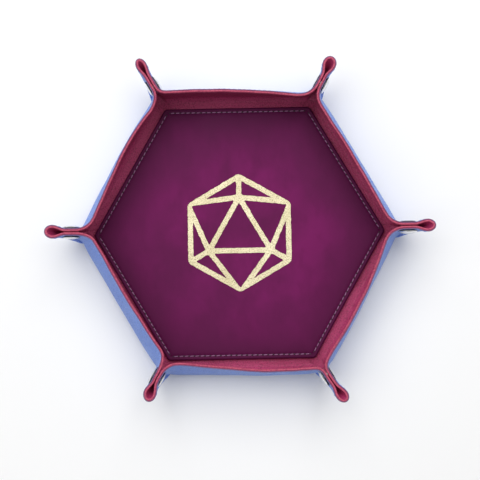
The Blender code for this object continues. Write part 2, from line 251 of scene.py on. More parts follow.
def ripple(surface):
    """Slight unevenness of soft sheet, none at the floor or where the leaves are."""
    for row, (share, _, _) in enumerate(ROWS):
        for column in range(COLUMNS):
            from_tip = abs(column % (2 * HALF_COLUMNS) - HALF_COLUMNS)
            loose = smooth((from_tip - SEAM_COLUMN) / 6)
            if not loose:
                continue
            spot = Vector(surface[row, column])
            amount = noise.noise(spot * 34) * 0.55 + noise.noise(spot * 90) * 0.22
            heading = math.atan2(spot.y, spot.x)
            push = amount * MM * smooth(share * 3) * loose
            surface[row, column, 0] += push * math.cos(heading)
            surface[row, column, 1] += push * math.sin(heading)
    return surface


def fold_normal(row, column):
    """Outward normal of a plain rounded fold, turning evenly round each corner."""
    corner, past = divmod(column, 2 * HALF_COLUMNS)
    past -= HALF_COLUMNS
    swing = STEP / 2 * smooth(abs(past) / SEAM_COLUMN) * math.copysign(1, past)
    heading = (corner + 1) * STEP + swing
    angle = (math.pi / 2 + LEAN) * row / FOLD_ROWS
    return np.array((math.cos(heading) * math.sin(angle), math.sin(heading) * math.sin(angle),
                     -math.cos(angle)))


def derivatives(surface):
    """Outward normals and upward tangents; the fold's lowest rows are too flat to measure."""
    across = np.roll(surface, -1, axis=1) - np.roll(surface, 1, axis=1)
    up = np.gradient(surface, axis=0)
    normal = np.cross(across, up)
    normal /= np.linalg.norm(normal, axis=2, keepdims=True)
    up /= np.linalg.norm(up, axis=2, keepdims=True)
    for row in range(FOLD_ROWS):
        measured = smooth((row - 2) / (FOLD_ROWS - 2))
        for column in range(COLUMNS):
            plain = fold_normal(row, column)
            normal[row, column] = plain * (1 - measured) + normal[row, column] * measured
    normal /= np.linalg.norm(normal, axis=2, keepdims=True)
    return normal, up


SURFACE = ripple(sheet_surface())
NORMAL, UP = derivatives(SURFACE)


def corner_tip_column(corner):
    return (2 * (corner - 1) + 1) * HALF_COLUMNS


# Meshes ----------------------------------------------------------------------------------

def link(name, mesh, looks, sharp=55.0):
    for look in looks if isinstance(looks, (list, tuple)) else [looks]:
        mesh.materials.append(look)
    mesh.shade_smooth()
    mesh.set_sharp_from_angle(angle=math.radians(sharp))
    result = bpy.data.objects.new(name, mesh)
    bpy.context.scene.collection.objects.link(result)
    return result


def ring_faces(first, rings, count):
    """Quads between closed rings of points that follow each other."""
    return [(base + k, base + (k + 1) % count, base + count + (k + 1) % count, base + count + k)
            for base in range(first, first + (rings - 1) * count, count) for k in range(count)]


def outward(mesh):
    work = bmesh.new()
    work.from_mesh(mesh)
    bmesh.ops.recalc_face_normals(work, faces=work.faces)
    work.to_mesh(mesh)
    work.free()


def sheet_mesh(name, quads, low, high, rim_drop=0.0):
    """Closed skin over grid quads between two offsets, with a rounded upper edge.

    Faces of the rounded edge take material 1.
    """
    arc_steps = 4
    points, index, faces, slots = [], {}, [], []
    last = len(ROWS) - 1
    middle, half = (low + high) / 2, (high - low) / 2

    def node(row, column, layer):
        column %= COLUMNS
        key = (row, column, layer)
        if key not in index:
            spot, out = SURFACE[row, column], NORMAL[row, column]
            angle = math.pi * layer / arc_steps
            offset = middle + half * math.cos(angle)
            spot = spot + out * offset
            if row == last:
                spot = spot + UP[row, column] * (half * math.sin(angle) - half - rim_drop)
            index[key] = len(points)
            points.append(spot)
        return index[key]

    def add(corners, slot=0):
        faces.append(corners)
        slots.append(slot)

    sides = {}
    for row, column in quads:
        ring = ((row, column), (row, column + 1), (row + 1, column + 1), (row + 1, column))
        for layer in (0, arc_steps):
            add([node(r, c, layer) for r, c in ring])
        for k in range(4):
            ends = tuple(sorted(((ring[k][0], ring[k][1] % COLUMNS),
                                 (ring[(k + 1) % 4][0], ring[(k + 1) % 4][1] % COLUMNS))))
            sides[ends] = sides.get(ends, 0) + 1
    for (first, second), uses in sides.items():
        if uses > 1:
            continue
        if first[0] == last and second[0] == last:
            for layer in range(arc_steps):
                add([node(*first, layer), node(*second, layer),
                     node(*second, layer + 1), node(*first, layer + 1)], 1)
            continue
        add([node(*first, 0), node(*second, 0), node(*second, arc_steps), node(*first, arc_steps)])
        for end in (first, second):
            if end[0] == last:
                add([node(*end, layer) for layer in range(arc_steps + 1)])
    mesh = bpy.data.meshes.new(name)
    mesh.from_pydata([tuple(point) for point in points], [], faces)
    mesh.polygons.foreach_set("material_index", slots)
    outward(mesh)
    return mesh


def turned(profile, segments=48):
    """Closed outline of (radius, height) turned about Z, as points and faces."""
    points, faces = [], []
    count = len(profile)
    for step in range(segments):
        angle = math.tau * step / segments
        points += [(r * math.cos(angle), r * math.sin(angle), h) for r, h in profile]
        for k in range(count):
            right = (k + 1) % count
            following = ((step + 1) % segments) * count
            faces.append((step * count + k, step * count + right, following + right, following + k))
    mesh = bpy.data.meshes.new("turned")
    mesh.from_pydata(points, [], faces)
    work = bmesh.new()
    work.from_mesh(mesh)
    bmesh.ops.remove_doubles(work, verts=work.verts, dist=1e-6)
    bmesh.ops.dissolve_degenerate(work, edges=work.edges, dist=1e-7)
    bmesh.ops.recalc_face_normals(work, faces=work.faces)
    work.to_mesh(mesh)
    work.free()
    return mesh


def stitches(name, path, look, length, width, height, slope=0.0, dip=0.0):
    """Short sewn threads along a path of (point, direction, outward normal)."""
    rings, around = 7, 8
    points, faces = [], []
    for spot, along, out in path:
        across = out.cross(along).normalized()
        along = (along + across * slope).normalized()
        across = out.cross(along).normalized()
        first = len(points)
        for ring in range(rings):
            way = 2 * ring / (rings - 1) - 1
            size = math.sqrt(max(0.0, 1 - way ** 4)) * 0.9 + 0.1
            centre = spot + along * (way * length / 2) - out * (dip * way * way)
            for k in range(around):
                angle = math.tau * k / around
                points.append(centre + across * (width / 2 * size * math.cos(angle))
                              + out * (height / 2 * size * math.sin(angle)))
        faces += ring_faces(first, rings, around)
        faces.append(tuple(first + k for k in range(around)))
        faces.append(tuple(first + (rings - 1) * around + k for k in range(around)))
    mesh = bpy.data.meshes.new(name)
    mesh.from_pydata([tuple(point) for point in points], [], faces)
    outward(mesh)
    return link(name, mesh, look)


# Materials -------------------------------------------------------------------------------

class Nodes:
    """Small helper that adds and joins shader nodes in one material."""

    def __init__(self, name, roughness, metallic=0.0):
        self.material = bpy.data.materials.new(name)
        self.material.use_nodes = True
        self.tree = self.material.node_tree
        self.shader = self.tree.nodes["Principled BSDF"]
        self.shader.inputs["Roughness"].default_value = roughness
        self.shader.inputs["Metallic"].default_value = metallic
        self.place = self.tree.nodes.new("ShaderNodeTexCoord").outputs["Object"]

    def add(self, kind, **inputs):
        node = self.tree.nodes.new(kind)
        for name, value in inputs.items():
            socket = node.inputs[name.replace("_", " ")]
            if isinstance(value, bpy.types.NodeSocket):
                self.tree.links.new(value, socket)
            else:
                socket.default_value = value
        return node

    def noise(self, size, detail=3.0, stretch=None):
        """Noise whose blotches are about the given size in metres."""
        place = self.place
        if stretch is not None:
            mapping = self.add("ShaderNodeMapping", Vector=self.place, Scale=stretch)
            place = mapping.outputs["Vector"]
        node = self.add("ShaderNodeTexNoise", Vector=place, Scale=1 / size, Detail=detail)
        return node.outputs["Fac"]

    def cells(self, size, feature="F1"):
        node = self.add("ShaderNodeTexVoronoi", Vector=self.place, Scale=1 / size)
        node.feature = feature
        return node.outputs["Distance"]

    def span(self, value, low, high, to_low=0.0, to_high=1.0):
        node = self.add("ShaderNodeMapRange", Value=value, From_Min=low, From_Max=high,
                        To_Min=to_low, To_Max=to_high)
        return node.outputs["Result"]

    def math(self, operation, first, second=0.0):
        node = self.tree.nodes.new("ShaderNodeMath")
        node.operation = operation
        for socket, value in zip(node.inputs, (first, second)):
            if isinstance(value, bpy.types.NodeSocket):
                self.tree.links.new(value, socket)
            else:
                socket.default_value = value
        return node.outputs[0]

    def mix(self, share, first, second):
        node = self.tree.nodes.new("ShaderNodeMix")
        node.data_type = "RGBA"
        sockets = (node.inputs[0], node.inputs[6], node.inputs[7])
        for socket, value in zip(sockets, (share, first, second)):
            if isinstance(value, bpy.types.NodeSocket):
                self.tree.links.new(value, socket)
            elif isinstance(value, tuple):
                socket.default_value = (*value, 1.0)
            else:
                socket.default_value = value
        return node.outputs[2]

    def bump(self, height, distance, strength=1.0):
        node = self.add("ShaderNodeBump", Height=height, Distance=distance, Strength=strength)
        return node.outputs["Normal"]

    def finish(self, colour=None, roughness=None, normal=None, **fixed):
        for name, value in (("Base Color", colour), ("Roughness", roughness), ("Normal", normal)):
            if isinstance(value, bpy.types.NodeSocket):
                self.tree.links.new(value, self.shader.inputs[name])
            elif value is not None:
                self.shader.inputs[name].default_value = (*value, 1.0)
        for name, value in fixed.items():
            self.shader.inputs[name.replace("_", " ")].default_value = value
        return self.material


def pebbled(name, colour, dark, light, roughness, grain=0.75 * MM, depth=0.10 * MM):
    """Leatherette with a fine pebbled grain whose valleys are a little darker."""
    nodes = Nodes(name, roughness)
    cell = nodes.cells(grain)
    wander = nodes.noise(2.6 * grain, 2.0)
    relief = nodes.math("ADD", nodes.span(cell, 0.05, 0.75, 1.0, 0.0),
                        nodes.span(wander, 0.3, 0.7, 0.0, 0.5))
    cloud = nodes.noise(26 * MM, 4.0)
    tint = nodes.mix(nodes.span(cloud, 0.35, 0.68), colour, light)
    shade = nodes.mix(nodes.span(cell, 0.42, 0.85, 0.0, 0.75), tint, dark)
    shine = nodes.span(wander, 0.3, 0.7, roughness - 0.07, roughness + 0.09)
    normal = nodes.bump(relief, depth)
    return nodes.finish(shade, shine, normal, Specular_IOR_Level=0.35)


def edge_paint_and_hole_shade(name, colour, worn):
    """Painted cut edge, slightly uneven; also used for the painted shade of the needle holes."""
    nodes = Nodes(name, 0.45)
    blotch = nodes.noise(1.1 * MM, 4.0)
    tint = nodes.mix(nodes.span(blotch, 0.42, 0.62), colour, worn)
    return nodes.finish(tint, nodes.span(blotch, 0.3, 0.7, 0.38, 0.58),
                        nodes.bump(nodes.noise(0.5 * MM, 3.0), 0.12 * MM))


def pad_leather_painted_edge_shade():
    """Plum leatherette: clouded, with painted shade darkening it towards the pad's edge, where the
    walls shade it.
    """
    nodes = Nodes("pad_plum_leatherette_painted_edge_shade", 0.56)
    split = nodes.add("ShaderNodeSeparateXYZ", Vector=nodes.place)
    across, along = split.outputs["X"], split.outputs["Y"]
    side = nodes.math("ABSOLUTE", along)
    for angle in (STEP / 2, -STEP / 2):
        turned_place = nodes.math("ADD", nodes.math("MULTIPLY", across, math.cos(angle)),
                                  nodes.math("MULTIPLY", along, math.sin(angle)))
        side = nodes.math("MAXIMUM", side, nodes.math("ABSOLUTE", turned_place))
    cloud = nodes.noise(34 * MM, 5.0)
    wisp = nodes.noise(9 * MM, 5.0, stretch=(1.0, 0.55, 1.0))
    mottled = nodes.mix(nodes.span(cloud, 0.36, 0.66),
                        (0.112, 0.0050, 0.064), (0.170, 0.0092, 0.098))
    mottled = nodes.mix(nodes.span(wisp, 0.45, 0.72, 0.0, 0.5), mottled, (0.096, 0.0046, 0.054))
    # Painted shade: the colour darkens towards the pad's edge, where the walls shade it.
    wander = nodes.math("ADD", side, nodes.span(cloud, 0.3, 0.7, -5 * MM, 5 * MM))
    rim = nodes.span(wander, 0.5 * PAD_APOTHEM, 1.0 * PAD_APOTHEM)
    tint = nodes.mix(nodes.math("POWER", rim, 1.7), mottled, (0.073, 0.0039, 0.041))
    fine = nodes.noise(0.55 * MM, 4.0)
    crease = nodes.cells(1.9 * MM, "SMOOTH_F1")
    relief = nodes.math("ADD", nodes.math("MULTIPLY", fine, 0.55), nodes.math("MULTIPLY", crease, 0.5))
    normal = nodes.bump(relief, 0.07 * MM, 0.8)
    shine = nodes.span(cloud, 0.3, 0.7, 0.50, 0.62)
    return nodes.finish(tint, shine, normal, Specular_IOR_Level=0.1)


def thread_look(name, colour, dark):
    """Twisted sewing thread."""
    nodes = Nodes(name, 0.6)
    twist = nodes.add("ShaderNodeTexWave", Vector=nodes.place, Scale=900.0, Distortion=2.0)
    tint = nodes.mix(twist.outputs["Fac"], dark, colour)
    return nodes.finish(tint, None, nodes.bump(twist.outputs["Fac"], 0.05 * MM),
                        Sheen_Weight=0.25, Sheen_Roughness=0.5)


def foil_look():
    """Grainy hot-stamped foil, pale gold with worn grey-brown specks."""
    nodes = Nodes("pale_gold_foil", 0.45, 0.55)
    speck = nodes.noise(0.62 * MM, 4.0)
    grain = nodes.noise(0.95 * MM, 3.0)
    cloud = nodes.noise(14 * MM, 3.0)
    tint = nodes.mix(nodes.span(cloud, 0.3, 0.7), (0.60, 0.54, 0.33), (0.72, 0.66, 0.45))
    tint = nodes.mix(nodes.span(speck, 0.50, 0.66, 0.0, 0.85), tint, (0.22, 0.17, 0.08))
    return nodes.finish(tint, nodes.span(grain, 0.3, 0.7, 0.34, 0.58),
                        nodes.bump(grain, 0.14 * MM))


def metal_look(name, colour, roughness):
    """Plated pressed metal with faint turning marks and handling scratches."""
    nodes = Nodes(name, roughness, 1.0)
    haze = nodes.noise(2.2 * MM, 4.0)
    scratch = nodes.noise(0.35 * MM, 2.0, stretch=(1.0, 6.0, 1.0))
    tint = nodes.mix(nodes.span(haze, 0.35, 0.7), colour, tuple(0.86 * part for part in colour))
    return nodes.finish(tint, nodes.span(haze, 0.3, 0.7, roughness - 0.05, roughness + 0.10),
                        nodes.bump(scratch, 0.01 * MM, 0.5))


def board_look():
    nodes = Nodes("grey_board", 0.9)
    fibre = nodes.noise(0.8 * MM, 5.0, stretch=(1.0, 3.0, 1.0))
    tint = nodes.mix(nodes.span(fibre, 0.3, 0.7), (0.25, 0.21, 0.16), (0.40, 0.35, 0.28))
    return nodes.finish(tint, None, nodes.bump(fibre, 0.08 * MM))


COVER_LOOK = pebbled("periwinkle_leatherette", (0.165, 0.290, 0.780), (0.078, 0.145, 0.50),
                     (0.200, 0.345, 0.840), 0.46, depth=0.12 * MM)
LINING_LOOK = pebbled("raspberry_leatherette", (0.400, 0.034, 0.125), (0.200, 0.014, 0.060),
                      (0.490, 0.050, 0.170), 0.46, depth=0.16 * MM)
LINING_EDGE = edge_paint_and_hole_shade("lining_cut_edge", (0.520, 0.070, 0.140), (0.350, 0.034, 0.095))
COVER_EDGE = edge_paint_and_hole_shade("cover_cut_edge", (0.17, 0.08, 0.20), (0.27, 0.10, 0.20))
SEAM_THREAD = thread_look("seam_thread", (0.72, 0.20, 0.38), (0.40, 0.07, 0.18))
COVER_THREAD = thread_look("cover_seam_thread", (0.27, 0.36, 0.74), (0.15, 0.22, 0.55))
PAD_THREAD = thread_look("mauve_thread", (0.420, 0.210, 0.390), (0.200, 0.085, 0.185))
# Painted shade: near-black dimples where the needle holes are shaded.
NEEDLE_HOLE_SHADE_LOOK = edge_paint_and_hole_shade("needle_hole_shade", (0.012, 0.002, 0.009), (0.022, 0.003, 0.016))
METAL = metal_look("bright_nickel", (0.84, 0.84, 0.86), 0.16)
# Painted shade: a dark band on the lower part of each stud head, standing in for the shaded gap between
# head and leaf.
METAL_PAINTED_SHADE = metal_look("nickel_painted_shade", (0.10, 0.10, 0.11), 0.35)
METAL_INNER = metal_look("satin_nickel", (0.70, 0.70, 0.70), 0.26)


# Pieces of the skins ---------------------------------------------------------------------

def grid_quads(first_row, last_row, first_column, last_column):
    return [(row, column) for row in range(first_row, last_row)
            for column in range(first_column, last_column)]


def seam_path(first_column, last_column, offset):
    """Evenly spaced stitch places on the seam's ring, on the side the offset gives."""
    columns = [column % COLUMNS for column in range(first_column, last_column + 1)]
    spots = [Vector(SURFACE[SEAM_ROW, c] + NORMAL[SEAM_ROW, c] * offset) for c in columns]
    outs = [Vector(NORMAL[SEAM_ROW, c]) * math.copysign(1, offset) for c in columns]
    lengths = [0.0]
    for before, after in zip(spots, spots[1:]):
        lengths.append(lengths[-1] + (after - before).length)
    count = max(1, round(lengths[-1] / SEAM_PITCH))
    path, place = [], 0
    for number in range(count):
        target = lengths[-1] * (number + 0.5) / count
        while lengths[place + 1] < target:
            place += 1
        way = (target - lengths[place]) / (lengths[place + 1] - lengths[place])
        path.append((spots[place].lerp(spots[place + 1], way),
                     (spots[place + 1] - spots[place]).normalized(),
                     outs[place].lerp(outs[place + 1], way).normalized()))
    return path


def heading_of(wall):
    angle = STEP * (wall - 0.5)
    return Vector((math.cos(angle), math.sin(angle), 0))


def wall_bend(piece):
    """Bakes the piece's transform into its mesh."""
    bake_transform(piece)


def leaf_bend(piece, corner, side):
    """Bakes the piece's transform into its mesh; the crease's axis and directions it works out are not
    used.
    """
    name = f"{corner}a" if side < 0 else f"{corner}b"
    wall = corner if side < 0 else corner % WALLS + 1
    joint = joints[f"leaf_{name}_crease"]
    axis, foot = Vector(joint["axis"]).normalized(), Vector(joint["pos_m"])
    heading = heading_of(wall)
    along = Vector((-heading.y, heading.x, 0)) * -side
    fin = Vector((math.cos(corner * STEP), math.sin(corner * STEP), 0))
    along -= axis * along.dot(axis)
    fin -= axis * fin.dot(axis)
    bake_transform(piece)


def skin_pair(kind, name, quads):
    """Lining and cover over the same grid quads."""
    lining = link(f"{kind}_lining_{name}",
                  sheet_mesh("lining", quads, -HALF_SHEET, PLY - GLUE_LINE),
                  [LINING_LOOK, LINING_EDGE])
    cover = link(f"{kind}_cover_{name}",
                 sheet_mesh("cover", quads, PLY + GLUE_LINE, HALF_SHEET, COVER_RIM_DROP),
                 [COVER_LOOK, COVER_EDGE])
    return lining, cover


def seam_pair(kind, name, inner_columns, outer_columns, length):
    """Stitching below the rim, on the lining's side and on the cover's."""
    inside = stitches(f"{kind}_seam_inside_{name}", seam_path(*inner_columns, -HALF_SHEET),
                      SEAM_THREAD, length, THREAD_WIDTH, THREAD_HEIGHT, dip=THREAD_DIP)
    outside = stitches(f"{kind}_seam_outside_{name}", seam_path(*outer_columns, HALF_SHEET),
                       COVER_THREAD, length, THREAD_WIDTH, THREAD_HEIGHT, dip=THREAD_DIP)
    return inside, outside


def make_walls():
    for wall in range(1, WALLS + 1):
        middle = 2 * (wall - 1) * HALF_COLUMNS
        ends = (middle - WALL_COLUMNS, middle + WALL_COLUMNS)
        quads = grid_quads(0, FOLD_ROWS, middle - HALF_COLUMNS, middle + HALF_COLUMNS)
        quads += grid_quads(FOLD_ROWS, len(ROWS) - 1, *ends)
        lining, cover = skin_pair("wall", wall, quads)
        pieces = [(lining, "lining", f"lining_wall_{wall}"),
                  (cover, "outer_cover", f"cover_wall_{wall}")]
        for piece, slot, node in pieces:
            wall_bend(piece)
            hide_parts(node)
        inside, outside = seam_pair("wall", wall, ends, ends, WALL_STITCH)
        for piece in (inside, outside):
            wall_bend(piece)


SNAP_LOW, SNAP_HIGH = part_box("snap_cap_6")
SNAP_REACH = (SNAP_LOW[0] + SNAP_HIGH[0]) / 2
SNAP_LEVEL = (SNAP_LOW[2] + SNAP_HIGH[2]) / 2
LEAF_OFFSET = HALF_SHEET + 0.15 * MM
SOCKET_HOLE, BARREL_HOLE = 5.4 * MM, 2.05 * MM    # radii cut in the lining and the cover


def snap_frame(corner, side):
    """Frame of one stud half: Z out of the leaf's outer face, origin in its middle."""
    fin = Vector((1, 0, 0))
    out = Vector((0, side, 0))
    local = Matrix((fin, out.cross(fin), out)).transposed().to_4x4()
    place = Matrix.Translation(Vector((SNAP_REACH, side * LEAF_OFFSET, SNAP_LEVEL)))
    return Matrix.Rotation(corner * STEP, 4, "Z") @ place @ local


def drill(piece, matrix, radius):
    """Cut a round hole through a leaf where its stud passes."""
    depth = 6 * MM
    cutter_mesh = turned([(0, -depth), (radius, -depth), (radius, depth), (0, depth)], 40)
    cutter = bpy.data.objects.new("cutter", cutter_mesh)
    bpy.context.scene.collection.objects.link(cutter)
    cutter.matrix_world = matrix
    hole = piece.modifiers.new("hole", "BOOLEAN")
    hole.operation = "DIFFERENCE"
    hole.object = cutter
    bpy.context.view_layer.update()
    graph = bpy.context.evaluated_depsgraph_get()
    cut = bpy.data.meshes.new_from_object(piece.evaluated_get(graph))
    piece.modifiers.clear()
    piece.data = cut
    bpy.data.objects.remove(cutter, do_unlink=True)


def make_leaves():
    for corner in range(1, WALLS + 1):
        for side, letter in ((-1, "a"), (1, "b")):
            tip = corner_tip_column(corner)
            first, last = (tip - SEAM_COLUMN, tip) if side < 0 else (tip, tip + SEAM_COLUMN)
            quads = grid_quads(FOLD_ROWS, len(ROWS) - 1, first, last)
            name = f"{corner}{letter}"
            lining, cover = skin_pair("leaf", name, quads)
            drill(lining, snap_frame(corner, side), SOCKET_HOLE)
            drill(cover, snap_frame(corner, side), BARREL_HOLE)
            seam_end = (first, first + JOIN_COLUMNS + FLARE_COLUMNS)
            if side > 0:
                seam_end = (last - JOIN_COLUMNS - FLARE_COLUMNS, last)
            inside, outside = seam_pair("leaf", name, seam_end, (first, last), LEAF_STITCH)
            for piece, slot in ((lining, "lining"), (cover, "outer_cover"),
                                (inside, "thread"), (outside, "thread")):
                leaf_bend(piece, corner, side)
            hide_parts(f"corner_leaf_{name}")


def make_floor():
    """Both skins under the pad, filled in from the fold's first ring."""
    layers = (("floor_lining", -HALF_SHEET, PLY - GLUE_LINE,
               LINING_LOOK, "lining", "lining_base"),
              ("floor_cover", PLY + GLUE_LINE, HALF_SHEET,
               COVER_LOOK, "outer_cover", "outer_cover_base"))
    for name, low, high, look, slot, node in layers:
        points, faces = [], []
        shares = (1.0, 0.96, 0.8, 0.5)
        for offset in (low, high):
            for share in shares:
                points += [tuple(Vector((x * share, y * share, z)) + Vector(out) * offset)
                           for (x, y, z), out in zip(SURFACE[0], NORMAL[0])]
        for layer in range(2):
            base = layer * len(shares) * COLUMNS
            faces += ring_faces(base, len(shares), COLUMNS)
            start = base + (len(shares) - 1) * COLUMNS
            faces.append(tuple(range(start, start + COLUMNS)))
        top = len(shares) * COLUMNS
        for k in range(COLUMNS):
            right = (k + 1) % COLUMNS
            faces.append((k, right, top + right, top + k))
        mesh = bpy.data.meshes.new(name)
        mesh.from_pydata(points, [], faces)
        outward(mesh)
        piece = link(name, mesh, look)
        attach(piece, "floor")
        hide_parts(node)


# Pad, thread and foil --------------------------------------------------------------------

PAD_CORNER = 3.0 * MM
STITCH_LEVEL = PAD_HIGH - 0.12 * MM
STITCHES_PER_SIDE = 26
SIDE_POINTS = 6 * STITCHES_PER_SIDE
CORNER_POINTS = 8


def pad_ring(apothem, corner):
    """Points of a rounded hexagon, with each one's share of a stitch pitch along its side."""
    ring = []
    reach = (apothem - corner) / math.cos(STEP / 2)
    for number in range(WALLS):
        middle = number * STEP
        centre = Vector((reach * math.cos(middle), reach * math.sin(middle), 0))
        for step in range(CORNER_POINTS):
            angle = middle + STEP / 2 * (2 * step / CORNER_POINTS - 1)
            ring.append((centre + corner * Vector((math.cos(angle), math.sin(angle), 0)), 0.5))
        following = middle + STEP
        away = Vector((math.cos(middle + STEP / 2), math.sin(middle + STEP / 2), 0)) * corner
        start = centre + away
        end = Vector((reach * math.cos(following), reach * math.sin(following), 0)) + away
        for step in range(SIDE_POINTS):
            way = step / SIDE_POINTS
            ring.append((start.lerp(end, way), (way * STITCHES_PER_SIDE) % 1.0))
    return ring


def make_pad():
    """Leatherette pad with a rolled edge and a sewn channel that puckers at each stitch."""
    inset = PAD_APOTHEM - STITCH_APOTHEM
    edge = 1.1 * MM
    outline = [(0.2 * MM, PAD_LOW, 0), (0.0, PAD_LOW + 0.5 * MM, 0), (0.0, PAD_HIGH - edge, 0)]
    for step in range(1, 7):
        angle = math.pi / 2 * step / 6
        outline.append((edge * (1 - math.cos(angle)), PAD_HIGH - edge * (1 - math.sin(angle)), 0))
    for share in (-1.0, -0.6, -0.3, -0.1, 0.1, 0.3, 0.6, 1.0):
        dip = 0.34 * MM * (math.cos(math.pi * share) + 1) / 2
        outline.append((inset + share * 1.5 * MM, PAD_HIGH - dip, 1))
    outline += [(inset + 2.6 * MM, PAD_HIGH + 0.05 * MM, 0), (inset + 5 * MM, PAD_HIGH, 0),
                (12 * MM, PAD_HIGH, 0), (40 * MM, PAD_HIGH, 0)]
    points = []
    for shift, level, sewn in outline:
        corner = max(0.4 * MM, PAD_CORNER - shift)
        ring = pad_ring(PAD_APOTHEM - shift, corner)
        count = len(ring)
        for spot, phase in ring:
            pucker = 0.10 * MM * math.cos(math.tau * (phase - 0.5)) if sewn else 0.0
            wave = 0.12 * MM * noise.noise(spot * 45) if level >= PAD_HIGH - edge else 0.0
            points.append((spot.x, spot.y, level + pucker * (level < PAD_HIGH - 0.05 * MM) + wave))
    faces = ring_faces(0, len(outline), count)
    faces.append(tuple(range(count)))
    last = (len(outline) - 1) * count
    faces.append(tuple(range(last, last + count)))
    mesh = bpy.data.meshes.new("pad")
    mesh.from_pydata(points, [], faces)
    outward(mesh)
    pad = link("stitched_pad", mesh, pad_leather_painted_edge_shade(), 60)
    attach(pad, "floor")
    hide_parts("pad_cover")
    frame["nodes"]["pad_board"].data.materials.clear()
    frame["nodes"]["pad_board"].data.materials.append(board_look())


def make_pad_thread():
    path = []
    apothem = STITCH_APOTHEM
    side = 2 * (apothem - PAD_CORNER) * math.tan(STEP / 2)
    for number in range(WALLS):
        heading = heading_of(number + 1)
        along = Vector((-heading.y, heading.x, 0))
        for k in range(STITCHES_PER_SIDE):
            place = ((k + 0.5) / STITCHES_PER_SIDE - 0.5) * side
            spot = heading * apothem + along * place + Vector((0, 0, STITCH_LEVEL))
            path.append((spot, along, Vector((0, 0, 1))))
    piece = stitches("pad_stitching", path, PAD_THREAD, 2.7 * MM, 0.62 * MM, 0.5 * MM,
                     slope=0.10, dip=0.28 * MM)
    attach(piece, "floor")
    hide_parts("pad_thread")


def make_needle_holes():
    """Dark dimples at the ends of the pad's stitches: painted shade standing in for the shaded needle
    holes.
    """
    side = 2 * (STITCH_APOTHEM - PAD_CORNER) * math.tan(STEP / 2)
    radius, sides = 0.55 * MM, 10
    points, faces = [], []
    for number in range(WALLS):
        heading = heading_of(number + 1)
        along = Vector((-heading.y, heading.x, 0))
        for k in range(STITCHES_PER_SIDE + 1):
            place = (k / STITCHES_PER_SIDE - 0.5) * side
            centre = heading * STITCH_APOTHEM + along * place + Vector((0, 0, PAD_HIGH - 0.30 * MM))
            first = len(points)
            for share, level in ((1.0, 0.0), (0.75, 0.10 * MM), (0.0, 0.13 * MM)):
                for step in range(sides if share else 1):
                    angle = math.tau * step / sides
                    points.append(tuple(centre + share * radius * (along * math.cos(angle)
                                                                   + heading * math.sin(angle))
                                        + Vector((0, 0, level))))
            top = first + 2 * sides
            for step in range(sides):
                right = (step + 1) % sides
                faces.append((first + step, first + right, first + sides + right, first + sides + step))
                faces.append((first + sides + step, first + sides + right, top))
            faces.append(tuple(first + step for step in range(sides)))
    mesh = bpy.data.meshes.new("needle_holes")
    mesh.from_pydata(points, [], faces)
    outward(mesh)
    piece = link("needle_holes", mesh, NEEDLE_HOLE_SHADE_LOOK)
    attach(piece, "floor")


EMBLEM_RADIUS = (FOIL_BOX[1][1] - FOIL_BOX[0][1]) / 2
EMBLEM_STROKE = 3.4 * MM


def emblem_cells():
    """The ten facets of a twenty-sided die seen face on, anticlockwise."""
    def spot(radius, degrees):
        angle = math.radians(degrees)
        return Vector((radius * math.cos(angle), radius * math.sin(angle)))

    inner = [spot(0.6 * EMBLEM_RADIUS, 90 + 120 * k) for k in range(3)]
    outer = [spot(EMBLEM_RADIUS, 90 + 60 * k) for k in range(6)]
    cells = [tuple(inner)]
    for k in range(3):
        tip, between, before = outer[2 * k], outer[2 * k + 1], outer[2 * k - 1]
        cells += [(inner[k], between, inner[(k + 1) % 3]),
                  (inner[k], tip, between), (inner[k], before, tip)]
    return cells, outer


def inset_cell(cell):
    """A facet drawn in by half a stroke, or a whole one along the emblem's edge."""
    hole = []
    shifts = []
    for k in range(3):
        outside = min(cell[k].length, cell[(k + 1) % 3].length) > 0.99 * EMBLEM_RADIUS
        shifts.append(EMBLEM_STROKE * (1.0 if outside else 0.5))
    for k in range(3):
        into = (cell[k] - cell[k - 1]).normalized()
        out = (cell[(k + 1) % 3] - cell[k]).normalized()
        start = cell[k] + Vector((-into.y, into.x)) * shifts[k - 1]
        other = cell[k] + Vector((-out.y, out.x)) * shifts[k]
        gap = other - start
        way = (gap.x * out.y - gap.y * out.x) / (into.x * out.y - into.y * out.x)
        hole.append(start + into * way)
    return hole


def brushed_outline(corners, radius, rough, seed):
    """Rounded polygon whose edge wanders a little, like foil on soft leatherette."""
    points = []
    count = len(corners)
    for k in range(count):
        corner, before, after = corners[k], corners[k - 1], corners[(k + 1) % count]
        into, out = (corner - before).normalized(), (after - corner).normalized()
        start, end = corner - into * radius, corner + out * radius
        for step in range(7):
            way = step / 6
            points.append(start.lerp(corner, way).lerp(corner.lerp(end, way), way))
        following = after - out * radius
        pieces = max(2, int((following - end).length / (0.8 * MM)))
        points += [end.lerp(following, step / pieces) for step in range(1, pieces)]
    result = []
    for spot in points:
        sample = Vector((spot.x, spot.y, seed * MM)) * 420
        shift = Vector((noise.noise(sample), noise.noise(sample + Vector((7, 3, 1)))))
        result.append(spot + shift * rough)
    return result


